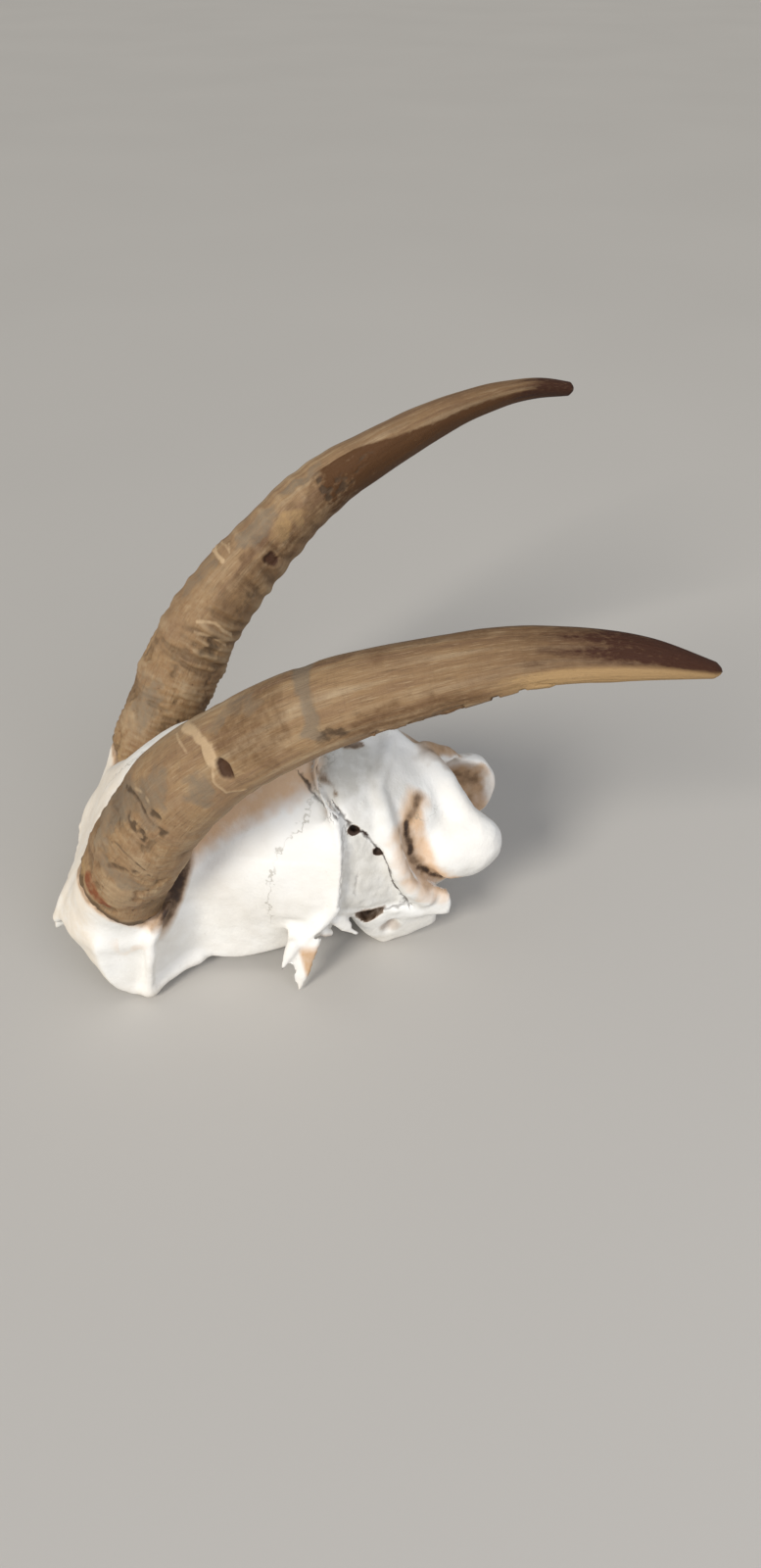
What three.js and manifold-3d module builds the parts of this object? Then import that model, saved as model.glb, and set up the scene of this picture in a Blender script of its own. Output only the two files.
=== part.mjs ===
// Cranium of a small antelope with its two horn sheaths, as it lies on a table.
// Millimetres. +X is the animal's left, +Y the back of the head, +Z up.
// The skull rests on the tips of its two postorbital processes and on its two ear capsules.
// The face, the lower jaw and the cheek arches are broken away.

import * as THREE from "three";
import { ConvexGeometry } from "three/addons/geometries/ConvexGeometry.js";
import { mergeVertices } from "three/addons/utils/BufferGeometryUtils.js";
import Module from "manifold-3d";

// ---------------------------------------------------------------- driving dimensions

const TOUCH_GAP = 0.3; // clear space between a horn sheath and the bone under it
const TABLE_HEIGHT = 0; // the height of the surface that the skull rests on
const FLAT_DEPTH = 0.8; // how much of each resting point is worn to a flat

// Brain case
const BRAIN_CASE = { centre: [0, -14, 50], radii: [37, 42, 38] };
const BRAIN_CASE_FRONT = { centre: [0, -42, 46], radii: [32, 30, 34] };
const WALL_FOOT_HALF_WIDTH = 32; // where the side walls end, low down
const WALL_FOOT_HEIGHT = 5;

// Back of the head
const NAPE_TOP = [0, 22.5, 79.5]; // top of the nuchal crest
const FORAMEN_CENTRE = [0, 48, 47]; // the hole for the spinal cord
const FORAMEN_RADII = [10.5, 13.5];
const FORAMEN_DEPTH = 40;
const CONDYLE = { centre: [16, 48, 42.5], radii: [8.5, 13, 12.5], pitch: 32 };
const BULLA = { centre: [14.5, 20, 9.4], radii: [8.5, 14, 10], pitch: -8 };

// Eye sockets
const ORBIT = { centre: [37, -85, -2], radii: [25, 17.5, 21] };
const ORBIT_CONE = { centre: [22, -76, 2], radii: [15, 16, 14] };

// Horns: centre line of the left one, the wide diameter at each point of it, and the
// ratio of the narrow diameter to the wide one. The line starts inside the bony pedicle.
const HORN_LINE = [
  { at: [27.6, -75.6, 21.0], wide: 33.0, ratio: 1.0 },
  { at: [34.2, -69.3, 40.4], wide: 31.2, ratio: 0.98 },
  { at: [44.0, -57.9, 69.3], wide: 32.0, ratio: 0.88 },
  { at: [52.6, -43.2, 95.2], wide: 30.4, ratio: 0.87 },
  { at: [61.9, -24.2, 116.4], wide: 26.6, ratio: 0.86 },
  { at: [72.0, -1.2, 136.0], wide: 24.0, ratio: 0.81 },
  { at: [80.7, 27.5, 150.9], wide: 20.2, ratio: 0.73 },
  { at: [88.3, 55.3, 161.2], wide: 14.8, ratio: 0.65 },
  { at: [94.8, 78.5, 163.9], wide: 10.6, ratio: 0.62 },
  { at: [98.0, 95.6, 162.2], wide: 3.4, ratio: 0.7 },
];
const HORN_TILT = 53; // degrees from upright to the wide diameter, towards the middle
const HORN_SIDES = 20;
const HORN_RINGS = 34;
const HORN_TIP_ROUNDING = 1.6; // length of the rounded end

// The plane where a pedicle ends and its sheath begins. It leans back, the same on both sides.
const SEAT_POINT = [36, -80, 52];
const SEAT_NORMAL = new THREE.Vector3(0, 0.6, 0.8);
const PEDICLE_EXTRA = 0.4; // how far the pedicle stands out past the sheath

const BONE = new THREE.MeshStandardMaterial({ color: 0xf1efe9, roughness: 0.75, metalness: 0 });
const HORN = new THREE.MeshStandardMaterial({ color: 0x7a5c42, roughness: 0.6, metalness: 0 });

// ---------------------------------------------------------------- joining and cutting

const wasm = await Module();
wasm.setup();

function solid(geometry) {
  const bare = geometry.index ? geometry.toNonIndexed() : geometry.clone();
  bare.deleteAttribute("normal");
  bare.deleteAttribute("uv");
  const merged = mergeVertices(bare, 1e-4);
  const vertProperties = new Float32Array(merged.attributes.position.array);
  const triVerts = new Uint32Array(merged.index.array);
  return new wasm.Manifold(new wasm.Mesh({ numProp: 3, vertProperties, triVerts }));
}

function geometryOf(manifold) {
  const mesh = manifold.getMesh();
  const geometry = new THREE.BufferGeometry();
  geometry.setAttribute("position", new THREE.BufferAttribute(mesh.vertProperties, 3));
  geometry.setIndex(new THREE.BufferAttribute(mesh.triVerts, 1));
  geometry.computeVertexNormals();
  return geometry;
}

function joined(geometries) {
  return geometries.map(solid).reduce((whole, piece) => whole.add(piece));
}

// ---------------------------------------------------------------- basic shapes

// side is 1 for the animal's left and -1 for its right.
function onSide(point, side) {
  return [point[0] * side, point[1], point[2]];
}

function ellipsoid({ centre, radii, pitch = 0 }, side = 1, columns = 20, rows = 12) {
  const geometry = new THREE.SphereGeometry(1, columns, rows);
  geometry.scale(...radii);
  geometry.rotateX(THREE.MathUtils.degToRad(pitch));
  geometry.translate(...onSide(centre, side));
  return geometry;
}

function bonePlate(points, side = 1) {
  return new ConvexGeometry(points.map((point) => new THREE.Vector3(...onSide(point, side))));
}

// A plate that reaches across the middle: its points are repeated on the other side.
function middlePlate(points) {
  const right = points.map((point) => onSide(point, -1));
  return bonePlate([...points, ...right]);
}

function spur(root, tip, rootRadius, tipRadius, side = 1) {
  const from = new THREE.Vector3(...onSide(root, side));
  const to = new THREE.Vector3(...onSide(tip, side));
  const along = to.clone().sub(from);
  const geometry = new THREE.CylinderGeometry(tipRadius, rootRadius, along.length(), 8, 1);
  const turn = new THREE.Quaternion();
  turn.setFromUnitVectors(new THREE.Vector3(0, 1, 0), along.clone().normalize());
  geometry.applyQuaternion(turn);
  geometry.translate(...from.add(to).multiplyScalar(0.5).toArray());
  return geometry;
}

function onBothSides(make) {
  return [make(1), make(-1)];
}

// ---------------------------------------------------------------- horns

function between(low, high, share) {
  return THREE.MathUtils.lerp(low, high, share);
}

// Diameter and ratio at a share of the horn's length, between the two nearest stations.
function hornSection(shareOfLength, stationShares) {
  let next = stationShares.findIndex((share) => share >= shareOfLength);
  next = Math.max(next, 1);
  const low = stationShares[next - 1];
  const share = (shareOfLength - low) / (stationShares[next] - low);
  const from = HORN_LINE[next - 1];
  const to = HORN_LINE[next];
  return { wide: between(from.wide, to.wide, share), ratio: between(from.ratio, to.ratio, share) };
}

function stationShares(points) {
  const lengths = points.map((point, i) => (i ? point.distanceTo(points[i - 1]) : 0));
  let run = 0;
  const reached = lengths.map((length) => (run += length));
  return reached.map((length) => length / run);
}

// A straight turned body with the horn's diameters, bent along the centre line.
function hornBody(side, extra) {
  const points = HORN_LINE.map((station) => new THREE.Vector3(...onSide(station.at, side)));
  const line = new THREE.CatmullRomCurve3(points, false, "centripetal");
  const shares = stationShares(points);
  const length = line.getLength();
  const profile = [new THREE.Vector2(0, 0)];
  for (let ring = 0; ring <= HORN_RINGS; ring++) {
    const share = ring / HORN_RINGS;
    const radius = hornSection(share, shares).wide / 2 + extra;
    profile.push(new THREE.Vector2(radius, share * (length - HORN_TIP_ROUNDING)));
  }
  profile.push(new THREE.Vector2(0, length));
  const geometry = new THREE.LatheGeometry(profile, HORN_SIDES);
  const tilt = THREE.MathUtils.degToRad(HORN_TILT);
  const position = geometry.attributes.position;
  const corner = new THREE.Vector3();
  for (let i = 0; i < position.count; i++) {
    corner.fromBufferAttribute(position, i);
    const share = THREE.MathUtils.clamp(corner.y / length, 0, 1);
    const along = line.getTangentAt(share);
    const outward = new THREE.Vector3(1, 0, 0).addScaledVector(along, -along.x).normalize();
    const upward = new THREE.Vector3().crossVectors(outward, along).negate();
    upward.multiplyScalar(Math.sign(upward.z));
    const wideWay = upward.clone().multiplyScalar(Math.cos(tilt));
    wideWay.addScaledVector(outward, -side * Math.sin(tilt));
    const narrowWay = new THREE.Vector3().crossVectors(wideWay, along);
    const ratio = hornSection(share, shares).ratio;
    const place = line.getPointAt(share);
    place.addScaledVector(wideWay, corner.x);
    place.addScaledVector(narrowWay, corner.z * ratio);
    position.setXYZ(i, place.x, place.y, place.z);
  }
  return geometry;
}

// Everything below the plane that the sheath stands on, lowered by the given drop.
function belowSeat(side, drop) {
  const size = 160;
  const block = new THREE.BoxGeometry(size, size, size);
  const turn = new THREE.Quaternion().setFromUnitVectors(new THREE.Vector3(0, 0, 1), SEAT_NORMAL);
  block.translate(0, 0, -size / 2 - drop);
  block.applyQuaternion(turn);
  block.translate(...onSide(SEAT_POINT, side));
  return block;
}

function hornSheath(side) {
  return solid(hornBody(side, 0)).subtract(solid(belowSeat(side, 0)));
}

// The room that a sheath needs, with the gap all round.
function hornRoom(side) {
  return solid(hornBody(side, TOUCH_GAP)).subtract(solid(belowSeat(side, TOUCH_GAP)));
}

// The bony stump under a sheath.
function pedicle(side) {
  return solid(hornBody(side, PEDICLE_EXTRA)).intersect(solid(belowSeat(side, TOUCH_GAP)));
}

// ---------------------------------------------------------------- cranium

function brainCase() {
  const walls = middlePlate([
    [WALL_FOOT_HALF_WIDTH, -49, WALL_FOOT_HEIGHT],
    [WALL_FOOT_HALF_WIDTH, -34, WALL_FOOT_HEIGHT - 1],
    [WALL_FOOT_HALF_WIDTH, -16, WALL_FOOT_HEIGHT + 3],
    [20, -50, WALL_FOOT_HEIGHT],
    [20, -10, WALL_FOOT_HEIGHT + 3],
    [33, -52, 36],
    [36, -12, 40],
    [35, -36, 40],
    [37, 0, 34],
    [30, 4, 16],
  ]);
  return [
    ellipsoid(BRAIN_CASE, 1, 28, 18),
    ellipsoid(BRAIN_CASE_FRONT, 1, 24, 14),
    walls,
  ];
}

function frontalBone() {
  return middlePlate([
    [10, -98, 14],
    [25, -97.5, 19],
    [31, -92, 22],
    [30, -84, 49],
    [14, -80.5, 60],
    [8, -68, 68],
    [49, -76, 26],
    [49, -60, 30],
    [38, -47.5, 46],
    [26, -44, 62],
    [10, -46, 74],
    [11, -84, 8],
    [14, -50, 6],
  ]);
}

// The bar behind each eye socket, down to the tip that the skull rests on.
function postorbitalProcess(side) {
  return bonePlate(
    [
      [44, -68, -FLAT_DEPTH],
      [47, -66, -FLAT_DEPTH],
      [45, -63.5, -FLAT_DEPTH],
      [47, -75.5, 11],
      [49, -77, 24],
      [38, -86, 21],
      [30, -93, 21],
      [49, -60, 30],
      [43, -57, 11],
      [33, -49, 6],
      [33, -49, 26],
      [38, -64, 7],
    ],
    side,
  );
}

// The broken root of the cheek arch: a blade with one long and one short prong.
function cheekRoot(side) {
  return [
    bonePlate([[40, -1, 33], [43, -3, 27], [38, -16, 20], [42, -13, 17], [31, 0, 22], [31, -12, 30]], side),
    spur([41, -6, 24], [43.5, -11.5, 1.2], 3.4, 0.9, side),
    spur([40, -11, 20], [43.5, -15.5, 11], 3, 1, side),
  ];
}

// From the crest behind the temple to the nape, down to the ear.
function backOfHead() {
  return middlePlate([
    [42, 2, 34],
    [40, 4, 52],
    [36, 4, 68],
    [22, 1, 81],
    [8, 0, 86.5],
    NAPE_TOP,
    [17, 21, 75],
    [32, 16.5, 55],
    [30, 27, 30],
    [27, 14, 19],
    [12, 39, 63],
    [6, 40, 66],
    [20, 42, 50],
    [17, 46, 33],
    [12, 46, 24],
    [10, 30, 12],
    [14, -6, 10],
  ]);
}

function neckProcess(side) {
  return bonePlate([[29, 26, 36], [24, 34, 36], [20, 28, 22], [27, 22, 20], [25.5, 43, 22], [22.5, 43, 19.5]], side);
}

function cranium() {
  const pieces = [...brainCase(), frontalBone(), backOfHead()];
  for (const side of [1, -1]) {
    pieces.push(postorbitalProcess(side), ...cheekRoot(side), neckProcess(side));
    pieces.push(ellipsoid(CONDYLE, side), ellipsoid(BULLA, side));
  }
  const [width, height] = FORAMEN_RADII;
  const canal = {
    centre: [0, FORAMEN_CENTRE[1], FORAMEN_CENTRE[2]],
    radii: [width, FORAMEN_DEPTH, height],
    pitch: -6,
  };
  const hollows = [
    ellipsoid(canal, 1, 20, 14),
    ...onBothSides((side) => ellipsoid(ORBIT, side)),
    ...onBothSides((side) => ellipsoid(ORBIT_CONE, side)),
  ];
  const table = new THREE.BoxGeometry(400, 400, 100);
  table.translate(0, 0, TABLE_HEIGHT - 50);
  const rooms = onBothSides(hornRoom);
  return joined(pieces)
    .add(pedicle(1))
    .add(pedicle(-1))
    .subtract(joined(hollows))
    .subtract(solid(table))
    .subtract(rooms[0])
    .subtract(rooms[1]);
}

// ---------------------------------------------------------------- the whole

function piece(name, manifold, material) {
  const mesh = new THREE.Mesh(geometryOf(manifold), material);
  mesh.name = name;
  return mesh;
}

const skull = new THREE.Group();
skull.add(piece("cranium", cranium(), BONE));
skull.add(piece("left_horn", hornSheath(1), HORN));
skull.add(piece("right_horn", hornSheath(-1), HORN));

export default skull;
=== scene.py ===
"""A bleached antelope cranium with two weathered horn sheaths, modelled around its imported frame."""

import math

import bmesh
import bpy
import numpy as np
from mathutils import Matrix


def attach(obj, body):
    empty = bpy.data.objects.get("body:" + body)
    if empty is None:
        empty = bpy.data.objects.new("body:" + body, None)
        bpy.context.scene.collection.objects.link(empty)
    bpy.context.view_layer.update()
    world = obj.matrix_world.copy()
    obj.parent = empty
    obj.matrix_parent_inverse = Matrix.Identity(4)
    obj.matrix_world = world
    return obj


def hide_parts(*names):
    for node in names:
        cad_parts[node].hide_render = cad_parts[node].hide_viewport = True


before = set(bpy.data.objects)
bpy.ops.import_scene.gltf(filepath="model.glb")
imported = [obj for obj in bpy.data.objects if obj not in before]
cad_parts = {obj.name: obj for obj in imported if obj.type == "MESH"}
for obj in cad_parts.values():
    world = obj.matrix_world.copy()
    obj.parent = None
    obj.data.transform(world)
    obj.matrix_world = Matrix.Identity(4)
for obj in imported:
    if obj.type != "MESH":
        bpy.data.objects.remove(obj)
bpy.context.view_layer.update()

import openvdb
from bpy.props import FloatProperty, FloatVectorProperty, IntProperty, PointerProperty
from bpy.types import Operator, Panel, PropertyGroup
from mathutils import Vector

bl_info = {
    "name": "Horned Cranium",
    "version": (1, 0, 0),
    "blender": (4, 5, 0),
    "location": "3D View > Sidebar > Cranium",
    "description": "Builds a bleached antelope cranium with two horn sheaths",
    "category": "Add Mesh",
}

MM = 0.001
BODY = "root"


def linear(code):
    """An sRGB hex code as linear red, green and blue."""
    channels = [(code >> shift & 255) / 255 for shift in (16, 8, 0)]
    return [c / 12.92 if c <= 0.04045 else ((c + 0.055) / 1.055) ** 2.4 for c in channels]


def colour_property(name, code, description):
    return FloatVectorProperty(
        name=name, description=description, subtype="COLOR", size=3, min=0.0, max=1.0, default=linear(code)
    )


def length_property(name, size, description, **more):
    return FloatProperty(name=name, description=description, default=size, unit="LENGTH", **more)


# ------------------------------------------------------------------ sizes and colours


class BoneSettings(PropertyGroup):
    """Sizes and colours of the cranium."""

    grid_step: length_property(
        "Grid step", 0.856 * MM, "Spacing of the grid that the bone is shaped on", min=0.4 * MM
    )
    rough_height: length_property("Weathering", 0.2 * MM, "Height of the uneven weathering of the surface")
    seam_width: length_property("Suture width", 0.6 * MM, "Half the width of the dark line in a suture")
    white: colour_property("Bleached bone", 0xF3F3F0, "Sun-bleached bone")
    # Also a painted shade on the front of the forehead.
    cream_and_shade: colour_property("Cream bone", 0xEADFCF, "Bone that kept some fat")
    # Also the tan of the painted shade in the neck canal, on the prongs' inner faces and in the painted
    # shadow behind each horn.
    tan: colour_property("Tan stain", 0xDDB283, "Where the horn's decay stained the bone")
    # Also the painted shade on bone that faces down.
    dust_and_shade: colour_property("Grey dust", 0xC9C6BD, "Dust that settled on the back of the head")
    # Also the painted shade deep in hollows, laid on by the hollow mark.
    earth_and_shade: colour_property("Earth stain", 0x8A6A48, "Thin soil in hollows")
    # Also the painted shade and shadow behind each horn's root, in the neck canal, on the cheek prongs' inner
    # faces, in the ear's dimple and deep in hollows.
    soil_and_shade: colour_property("Soil", 0x2E1B10, "Dark soil left in cracks and holes")
    seam: colour_property("Suture", 0x8F8878, "Dirt in the sutures")


class HornSettings(PropertyGroup):
    """Sizes and colours of the horn sheaths."""

    rows: IntProperty(name="Rows", description="Mesh rows along a sheath", default=540, min=50)
    columns: IntProperty(name="Columns", description="Mesh columns round a sheath", default=168, min=24)
    ring_height: length_property("Growth ring height", 0.3 * MM, "Height of the growth rings")
    fibre_height: length_property("Fibre height", 0.09 * MM, "Height of the lengthwise fibres")
    brown: colour_property("Horn brown", 0x937350, "Weathered keratin")
    buff: colour_property("Buff horn", 0x9C7F5C, "Scuffed keratin between the fibres")
    mauve: colour_property("Grey-brown horn", 0x866A50, "Smooth keratin between the growth rings")
    light: colour_property("Light horn", 0xB59F80, "Dry, scuffed keratin")
    dark: colour_property("Dark horn", 0x4C3B2A, "Keratin in pits and cracks")
    grey: colour_property("Grey horn", 0x7B6E5D, "Sun-greyed keratin")
    rust: colour_property("Rust stain", 0x7C4324, "Red-brown soil above the rim")
    # Painted shade on the right sheath's lower side, in amber; also amber keratin on the left sheath, and
    # darker amber towards each tip.
    amber_and_shade: colour_property("Amber horn", 0x50300F, "Keratin on the shaded inner side")
    straw: colour_property("Straw horn", 0xAC8D62, "Light keratin under the tip")
    tip: colour_property("Tip", 0x3C1D0A, "Dark red-brown keratin of the tip")
    scar: colour_property("Scar", 0xCBB08C, "Where a layer flaked off")


class StageSettings(PropertyGroup):
    """Floor, lights and camera."""

    floor: colour_property("Floor", 0xC6C3BE, "Plain pale floor")
    camera_height: length_property("Camera height", 306 * MM, "Height of the camera above the floor")
    camera_distance: length_property(
        "Camera distance", 330 * MM, "Level distance from the middle of the skull"
    )
    camera_pitch: FloatProperty(
        name="Camera pitch", description="How far the camera looks down", default=math.radians(37),
        subtype="ANGLE",
    )


def settings(context):
    return context.scene.horned_cranium


# ------------------------------------------------------------------ shaping bone on a grid

# What the grid holds before any bone is joined, in millimetres.
FAR = 30.0
# Faces of a hull closer than this in direction and offset count as one.
SAME_DIRECTION, SAME_OFFSET = 0.995, 0.4
# How far round a shape the grid is changed, past its blend.
REACH = 5


def smooth_min(a, b, blend):
    """The smaller of two distances, with a fillet of the given size where they meet."""
    if blend <= 0:
        return np.minimum(a, b)
    share = np.clip(0.5 + 0.5 * (b - a) / blend, 0, 1)
    return b + (a - b) * share - blend * share * (1 - share)


class Ellipsoid:
    """An ellipsoid, turned about X by its pitch in degrees."""

    def __init__(self, centre, radii, pitch=0):
        self.centre = np.array(centre, np.float32)
        self.radii = np.array(radii, np.float32)
        sine, cosine = math.sin(math.radians(pitch)), math.cos(math.radians(pitch))
        self.turn = np.array([[1, 0, 0], [0, cosine, -sine], [0, sine, cosine]], np.float32)
        reach = np.abs(self.turn) @ self.radii
        self.low = self.centre - reach
        self.high = self.centre + reach

    def distance(self, x, y, z):
        away = [x - self.centre[0], y - self.centre[1], z - self.centre[2]]
        own = [sum(self.turn[row][col] * away[row] for row in range(3)) for col in range(3)]
        near = sum((own[i] / self.radii[i]) ** 2 for i in range(3)) ** 0.5
        slope = sum((own[i] / self.radii[i] ** 2) ** 2 for i in range(3)) ** 0.5
        return near * (near - 1) / np.maximum(slope, 1e-4)


class Rod:
    """A round rod through points of (x, y, z, radius)."""

    def __init__(self, *points):
        self.points = np.array(points, np.float32)
        radii = self.points[:, 3:]
        self.low = (self.points[:, :3] - radii).min(0)
        self.high = (self.points[:, :3] + radii).max(0)

    def distance(self, x, y, z):
        nearest = None
        for start, end in zip(self.points[:-1], self.points[1:]):
            way = end[:3] - start[:3]
            away = [x - start[0], y - start[1], z - start[2]]
            share = sum(away[i] * way[i] for i in range(3)) / max(float(way @ way), 1e-6)
            share = np.clip(share, 0, 1)
            gap = sum((away[i] - share * way[i]) ** 2 for i in range(3)) ** 0.5
            gap = gap - (start[3] + share * (end[3] - start[3]))
            nearest = gap if nearest is None else np.minimum(nearest, gap)
        return nearest


def hull_planes(corners):
    """Outward normals and offsets of the faces of a convex hull, flat faces counted once."""
    mesh = bmesh.new()
    for corner in corners:
        mesh.verts.new(corner)
    bmesh.ops.convex_hull(mesh, input=mesh.verts)
    middle = np.mean(corners, axis=0)
    planes = []
    for face in mesh.faces:
        normal = np.array(face.normal, np.float32)
        offset = float(normal @ np.array(face.verts[0].co))
        if normal @ middle > offset:
            normal, offset = -normal, -offset
        if all(normal @ other < SAME_DIRECTION or abs(offset - o) > SAME_OFFSET for other, o in planes):
            planes.append((normal, offset))
    mesh.free()
    return planes


class Plate:
    """A convex block or blade with the given corners, its edges rounded."""

    def __init__(self, corners, rounding, mirrored=False):
        corners = [tuple(corner) for corner in corners]
        if mirrored:
            corners += [(-x, y, z) for x, y, z in corners]
        self.planes = hull_planes(corners)
        self.rounding = rounding
        self.low = np.min(corners, axis=0)
        self.high = np.max(corners, axis=0)

    def distance(self, x, y, z):
        furthest = None
        for normal, offset in self.planes:
            gap = normal[0] * x + normal[1] * y + normal[2] * z - offset
            furthest = gap if furthest is None else -smooth_min(-furthest, -gap, self.rounding)
        return furthest


class Below:
    """The part of a shape that lies below a plane."""

    def __init__(self, shape, point, normal):
        self.shape, self.point, self.normal = shape, point, normal
        self.low, self.high = shape.low, shape.high

    def distance(self, x, y, z):
        height = sum((value - p) * n for value, p, n in zip((x, y, z), self.point, self.normal))
        return np.maximum(self.shape.distance(x, y, z), height)


class BoneField:
    """Signed distances to the bone's surface, on a grid in millimetres: negative inside."""

    def __init__(self, axes, values=None):
        self.axes = axes
        self.step = float(axes[0][1] - axes[0][0])
        self.values = np.full([len(axis) for axis in axes], FAR, np.float32) if values is None else values

    def around(self, shape, margin):
        window = []
        for axis, low, high in zip(self.axes, shape.low, shape.high):
            first = int(np.searchsorted(axis, low - margin))
            last = int(np.searchsorted(axis, high + margin))
            window.append(slice(max(first - 1, 0), last + 1))
        x, y, z = (axis[span] for axis, span in zip(self.axes, window))
        return tuple(window), (x[:, None, None], y[None, :, None], z[None, None, :])

    def join(self, shape, blend=0.0):
        window, points = self.around(shape, blend + REACH)
        self.values[window] = smooth_min(self.values[window], shape.distance(*points), blend)

    def cut(self, shape, blend=0.0):
        window, points = self.around(shape, blend + REACH)
        self.values[window] = -smooth_min(-self.values[window], shape.distance(*points), blend)

    def mirrored(self):
        """The whole head, from the half with x of 0 and more."""
        across = np.concatenate([-self.axes[0][:0:-1], self.axes[0]])
        return BoneField([across, *self.axes[1:]], np.concatenate([self.values[:0:-1], self.values]))

    def surface(self):
        """Points in millimetres and four-sided faces of the surface."""
        grid = openvdb.FloatGrid()
        grid.copyFromArray(self.values)
        points, quads = grid.convertToQuads(0.0)
        origin = np.array([axis[0] for axis in self.axes])
        return points * self.step + origin, quads

    def hollowness(self, points, reach):
        """How far points lie in a hollow, in millimetres: the distances averaged over a box round each."""
        values = np.clip(self.values, -reach, reach)
        count = max(int(round(reach / self.step)), 1)
        blurred = values
        for axis in range(3):
            shifted = (np.roll(blurred, shift, axis) for shift in range(-count, count + 1))
            blurred = sum(shifted) / (2 * count + 1)
        difference = values - blurred
        origin = np.array([axis[0] for axis in self.axes])
        return lattice_value(difference, (points - origin) / self.step, wrap=False)


def lattice_value(lattice, place, wrap=True):
    """Values between the points of a lattice, at places given in its own steps."""
    cell = np.floor(place).astype(int)
    share = place - cell
    if wrap:
        share = share * share * (3 - 2 * share)
    result = 0
    for corner in range(8):
        step = np.array([corner >> 2 & 1, corner >> 1 & 1, corner & 1])
        weight = np.prod(np.where(step, share, 1 - share), axis=1)
        at = (cell + step) % lattice.shape if wrap else np.clip(cell + step, 0, np.array(lattice.shape) - 1)
        result = result + weight * lattice[at[:, 0], at[:, 1], at[:, 2]]
    return result


LATTICE = np.random.default_rng(41).uniform(-1, 1, (32, 32, 32)).astype(np.float32)


def noise(points, scale, offset=0.0, octaves=1):
    """Smooth noise of about -1 to 1 whose largest lumps are about scale millimetres wide."""
    total = 0
    for octave in range(octaves):
        place = points / (scale / 2**octave) + 7.31 + offset + 3.7 * octave
        total = total + lattice_value(LATTICE, place) / 2**octave
    return total


def ramp(values, low, high):
    """0 at low, 1 at high, smooth between them; high may be the smaller one."""
    share = np.clip((values - low) / (high - low), 0, 1)
    return share * share * (3 - 2 * share)


def trace_distance(points, trace, signed=False):
    """Distance from points to a line through the trace's points; signed, it changes sign across the line."""
    trace = np.array(trace, float)
    nearest = np.full(len(points), 1e3)
    for start, end in zip(trace[:-1], trace[1:]):
        way = end - start
        away = points - start
        share = np.clip(away @ way / max(way @ way, 1e-9), 0, 1)
        gap = np.linalg.norm(away - share[:, None] * way, axis=1)
        if signed:
            gap = gap * np.where(away[:, 0] * way[1] - away[:, 1] * way[0] > 0, 1, -1)
        nearest = np.where(np.abs(gap) < np.abs(nearest), gap, nearest)
    return nearest


def inside_outline(points, outline):
    """Distance in from a closed outline of flat points: negative outside it."""
    outline = np.array(outline, float)
    ahead = np.roll(outline, -1, axis=0)
    crossings = np.zeros(len(points), int)
    for (x0, y0), (x1, y1) in zip(outline, ahead):
        spans = (y0 > points[:, 1]) != (y1 > points[:, 1])
        crossings += spans & (points[:, 0] < (x1 - x0) * (points[:, 1] - y0) / (y1 - y0 + 1e-9) + x0)
    closed = np.vstack([outline, outline[:1]])
    return trace_distance(points, closed) * np.where(crossings % 2, 1, -1)


# ------------------------------------------------------------------ the cranium's masses

# The plane that ends a bony stump and starts its horn sheath; it leans back.
SEAT_POINT = (36, -80, 52)
SEAT_NORMAL = (0, 0.6, 0.8)
# How far the bony core rises over the seat, and how much thinner than the stump it is.
CORE_RISE, CORE_INSET = 3.5, 2.6


def brain_case(head):
    head.join(Ellipsoid((0, -14, 49), (36.3, 41.5, 37.5)))
    head.join(Ellipsoid((0, -42, 46), (31, 30, 33)), 12)
    head.join(Ellipsoid((13, -10, 40), (24, 30, 26)), 8)
    head.join(Plate([
        (33, -50, 4), (32.5, -34, 2.5), (32.5, -24, 5), (32.5, -14, 8), (22, -50, 6), (22, -12, 8),
        (33, -52, 36), (35.5, -12, 40), (34.5, -36, 40), (36.5, 0, 34), (31, 4, 16),
    ], 3.5), 8)


def frontal_bone(head):
    head.join(Plate([
        (10, -98, 14), (25, -97.5, 19), (31, -92, 22), (30, -83, 48), (14, -78.8, 59), (8, -67.4, 67.6),
        (47.6, -76, 27), (47.8, -60, 31), (38, -47.5, 46), (26, -44, 62), (10, -46, 74), (11, -84, 8),
        (14, -50, 6),
    ], 5, mirrored=True), 9)


def postorbital_process(head):
    head.join(Plate([
        (49.3, -79.2, 27.4), (49.7, -78.2, 20.2), (49.4, -77.2, 13), (48.6, -75.2, 5.6),
        (47.6, -71.6, 0.8), (46.4, -66.3, -2.8), (45.8, -62.6, -1.2), (45.5, -60.4, 4.5), (43, -56.7, 7),
        (33, -49, 6), (33, -47, 30), (48.4, -60, 31), (42, -74, 10), (42, -68, 0.5), (38, -64, 7),
        (43, -84, 28), (36, -89, 26), (30, -93, 25), (41, -79, 41), (44.6, -70, 43), (33, -85, 40),
    ], 3.4), 7)
    ridge = Rod(
        (42.5, -51, 43, 1.0), (45.5, -55, 37, 1.3), (47.8, -58.8, 29, 1.6), (48.2, -60, 20, 1.6),
        (46.8, -61.5, 10, 1.6), (45.6, -62.8, 3.6, 1.8),
    )
    head.join(ridge, 3.5)
    head.join(Rod((45, -61.5, 4.2, 1.8), (41, -57, 5.2, 1.8), (36, -51.5, 6, 1.8), (33, -47, 6.2, 1.8)), 4)
    head.cut(Rod(
        (51.6, -64.6, 38, 0.5), (51.8, -65.4, 28, 2.2), (51.8, -66.2, 18, 3.2), (50.4, -66.8, 8, 3.2)
    ), 2.5)
    head.join(Plate([
        (24, -97.2, 16), (26.4, -97.8, 21), (26, -94.6, 29.5), (25.6, -89.4, 37), (22, -83.8, 44),
        (16, -84.8, 43), (16, -96, 16), (19, -93.2, 28), (31, -91, 23), (31, -87, 34), (28, -82, 44),
    ], 2.2), 2.5)
    head.join(Rod((23, -94.5, 17, 2.6), (24, -96.6, 14.2, 1.1)), 1.5)


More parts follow.
